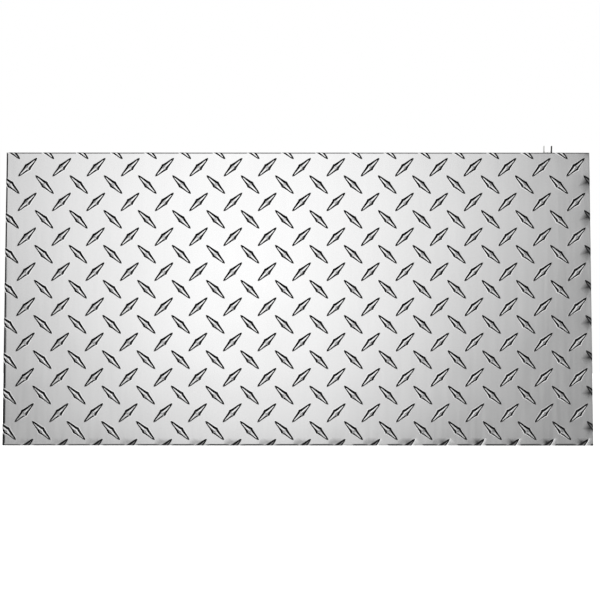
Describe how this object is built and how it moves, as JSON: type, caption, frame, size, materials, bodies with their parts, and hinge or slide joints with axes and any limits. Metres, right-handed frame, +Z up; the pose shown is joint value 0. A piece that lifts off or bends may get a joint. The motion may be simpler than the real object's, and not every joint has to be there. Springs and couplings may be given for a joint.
{
  "type": "kick plate",
  "caption": "Thin rectangular aluminium sheet embossed with raised diamond tread, backed by upright adhesive tape strips under peelable paper liners, for a door's base.",
  "frame": {"origin": "middle of the plane that stands against the door: the outer face of the middle release liner", "axes": "+Z up, +X to the right along the width as seen from the front, +Y from the plate into the door; the tread faces -Y"},
  "size_m": [0.6096, 0.0032, 0.3121],
  "materials": {
    "aluminium_sheet": "bright rolled, satin sheen, with faint upright grain",
    "foam_tape": "white closed-cell foam",
    "release_liner": "white silicone-coated paper"
  },
  "bodies": {
    "plate": {"kick_plate": "aluminium_sheet", "tape_strip_1": "foam_tape", "tape_strip_2": "foam_tape", "tape_strip_3": "foam_tape", "tape_strip_4": "foam_tape", "tape_strip_5": "foam_tape", "tape_strip_6": "foam_tape", "tape_strip_7": "foam_tape"},
    "liner_1": {"release_liner_1": "release_liner"},
    "liner_2": {"release_liner_2": "release_liner"},
    "liner_3": {"release_liner_3": "release_liner"},
    "liner_4": {"release_liner_4": "release_liner"},
    "liner_5": {"release_liner_5": "release_liner"},
    "liner_6": {"release_liner_6": "release_liner"},
    "liner_7": {"release_liner_7": "release_liner"}
  },
  "joints": [
    {"name": "liner_1_peel", "type": "slide", "parent": "plate", "child": "liner_1", "axis": [0, 1, 0], "range_m": [0, 0.05]},
    {"name": "liner_2_peel", "type": "slide", "parent": "plate", "child": "liner_2", "axis": [0, 1, 0], "range_m": [0, 0.05]},
    {"name": "liner_3_peel", "type": "slide", "parent": "plate", "child": "liner_3", "axis": [0, 1, 0], "range_m": [0, 0.05]},
    {"name": "liner_4_peel", "type": "slide", "parent": "plate", "child": "liner_4", "axis": [0, 1, 0], "range_m": [0, 0.05]},
    {"name": "liner_5_peel", "type": "slide", "parent": "plate", "child": "liner_5", "axis": [0, 1, 0], "range_m": [0, 0.05]},
    {"name": "liner_6_peel", "type": "slide", "parent": "plate", "child": "liner_6", "axis": [0, 1, 0], "range_m": [0, 0.05]},
    {"name": "liner_7_peel", "type": "slide", "parent": "plate", "child": "liner_7", "axis": [0, 1, 0], "range_m": [0, 0.05]}
  ]
}
